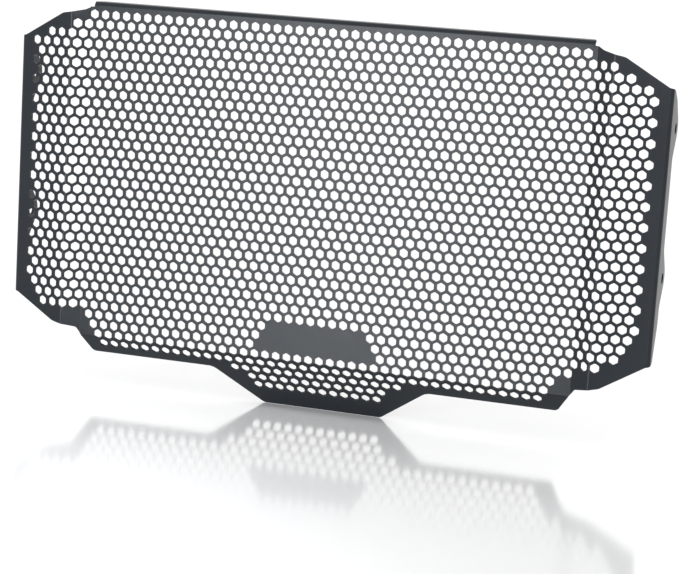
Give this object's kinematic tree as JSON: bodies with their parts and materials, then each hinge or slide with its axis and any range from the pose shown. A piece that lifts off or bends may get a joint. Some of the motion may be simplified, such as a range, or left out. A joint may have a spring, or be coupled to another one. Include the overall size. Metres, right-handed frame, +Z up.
{
  "type": "motorcycle radiator guard",
  "caption": "Perforated folded sheet guard for a motorcycle radiator, with leaning side wings, flanges with bolt tabs, a top flange and a central lower tongue.",
  "frame": {"origin": "middle of the guard's overall box", "axes": "+X across the guard to the right as seen from its front, +Y backward to the radiator, +Z up"},
  "size_m": [0.4072, 0.0318, 0.242],
  "materials": {
    "coated_sheet": "satin black powder coat on aluminium"
  },
  "bodies": {
    "root": {"guard_sheet": "coated_sheet"}
  },
  "joints": []
}
